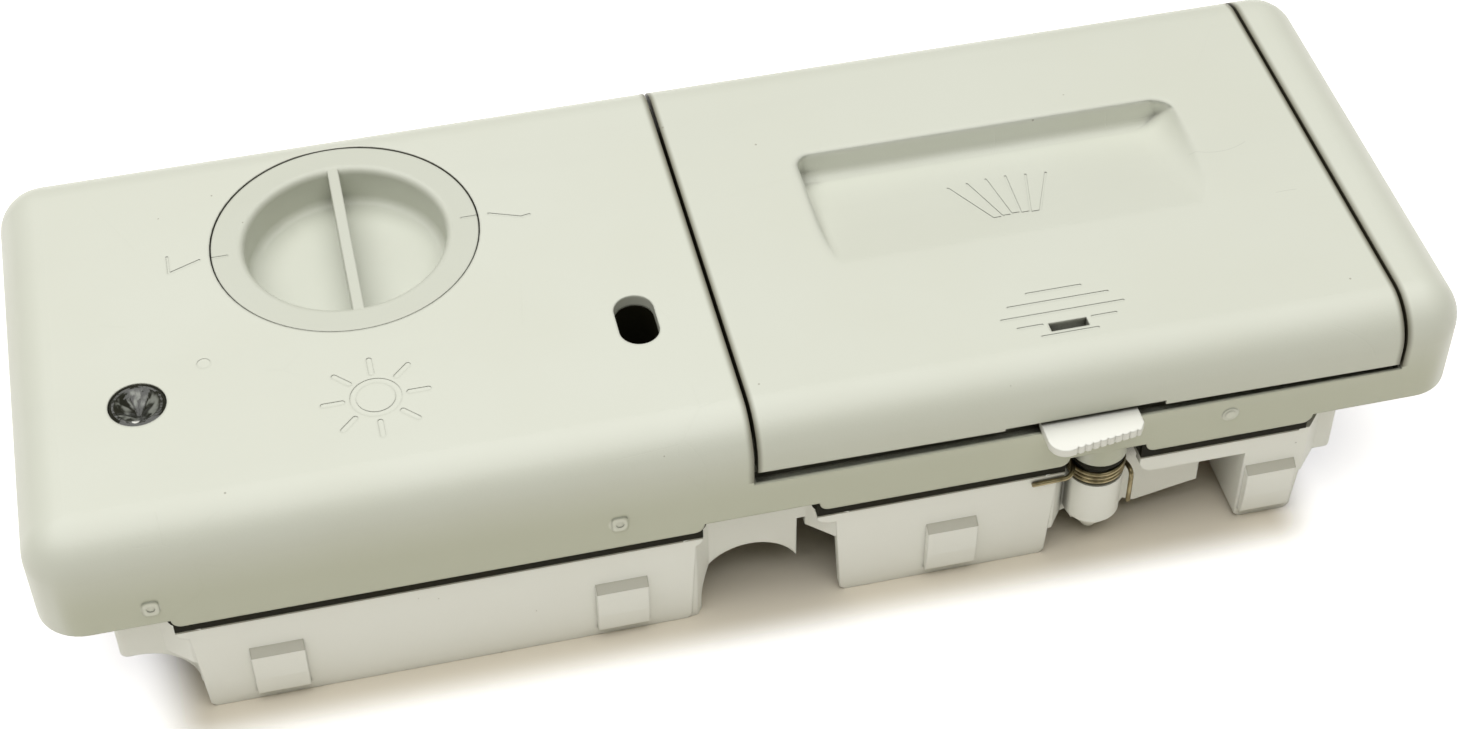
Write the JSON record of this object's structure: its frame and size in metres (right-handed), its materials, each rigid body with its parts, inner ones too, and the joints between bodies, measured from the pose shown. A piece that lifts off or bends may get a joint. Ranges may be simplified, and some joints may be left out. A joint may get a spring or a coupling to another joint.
{
  "type": "dishwasher detergent dispenser",
  "caption": "Dishwasher detergent dispenser: rounded oblong fascia with a hinged lid and latch, a rinse aid cap and level lens, and a snap-in frame behind.",
  "frame": {"origin": "centre of the fascia's outline, in the plane of the skirt's lower rim, on which the part lies", "axes": "+X along the fascia towards the lid, -Y towards the latch, +Z out of the fascia's face; it is let into the door along -Z"},
  "size_m": [0.255, 0.1026, 0.0484],
  "materials": {
    "fascia_plastic": "fine satin, light warm grey",
    "frame_plastic": "satin, ivory",
    "latch_plastic": "satin, near white",
    "natural_plastic": "natural, slightly milky",
    "clear_plastic": "clear, looks dark over the tank",
    "seal_rubber": "matte black",
    "spring_wire": "drawn wire, yellowish",
    "steel": "plain steel",
    "tinned_brass": "tinned",
    "enamelled_copper": "enamelled wire"
  },
  "bodies": {
    "housing": {"fascia": "fascia_plastic", "rear_frame": "frame_plastic", "frame_gasket": "seal_rubber", "rinse_tank": "natural_plastic", "level_lens": "clear_plastic", "lens_seal": "seal_rubber", "hinge_pin": "steel", "latch_spring": "spring_wire", "latch_seal": "seal_rubber", "outlet_sleeve": "seal_rubber", "dosing_chamber": "natural_plastic", "valve_spring": "steel", "solenoid_yoke": "steel", "coil_bobbin": "natural_plastic", "coil_winding": "enamelled_copper", "pole_piece": "steel", "armature_spring": "steel", "lever_pin": "steel", "pin_clip": "steel", "spade_terminals": "tinned_brass", "yoke_screws": "steel", "frame_screws": "steel"},
    "lid": {"lid": "fascia_plastic", "lid_seal": "seal_rubber"},
    "latch": {"latch": "latch_plastic"},
    "cap": {"rinse_cap": "fascia_plastic", "cap_seal": "seal_rubber"},
    "dial": {"dose_dial": "natural_plastic"},
    "drive": {"armature": "steel", "pull_rod": "latch_plastic"},
    "lever": {"dosing_lever": "latch_plastic"},
    "valve": {"valve_plunger": "latch_plastic", "valve_seal": "seal_rubber"}
  },
  "joints": [
    {"name": "lid_hinge", "type": "hinge", "parent": "housing", "child": "lid", "pos_m": [0.0554, 0.0448, 0.0388], "axis": [-1, 0, 0], "range_deg": [0, 105]},
    {"name": "cap_turn", "type": "hinge", "parent": "housing", "child": "cap", "pos_m": [-0.0653, 0.0162, 0.0484], "axis": [0, 0, 1], "range_deg": [0, 90]},
    {"name": "dial_turn", "type": "hinge", "parent": "housing", "child": "dial", "pos_m": [-0.0653, 0.0162, 0.028], "axis": [0, 0, 1], "range_deg": [-30, 270]},
    {"name": "armature_slide", "type": "slide", "parent": "housing", "child": "drive", "axis": [1, 0, 0], "range_m": [0, 0.004], "stiffness_N_per_m": 250, "springref_m": -0.002, "deforming": ["armature_spring"]},
    {"name": "latch_turn", "type": "hinge", "parent": "housing", "child": "latch", "pos_m": [0.0608, -0.0426, 0.035], "axis": [0, 0, 1], "range_deg": [-11.13, 0], "deforming": ["latch_spring"]},
    {"name": "lever_turn", "type": "hinge", "parent": "housing", "child": "lever", "pos_m": [-0.0021, -0.002, 0.0092], "axis": [0, 0, 1], "range_deg": [0, 11.47]},
    {"name": "valve_slide", "type": "slide", "parent": "housing", "child": "valve", "axis": [0, -1, 0], "range_m": [0, 0.00322], "deforming": ["valve_spring"]}
  ],
  "couplings": [
    {"joint": "latch_turn", "follows": "armature_slide", "rad_per_m": -48.544},
    {"joint": "lever_turn", "follows": "armature_slide", "rad_per_m": 50},
    {"joint": "valve_slide", "follows": "armature_slide", "ratio": 0.8}
  ]
}
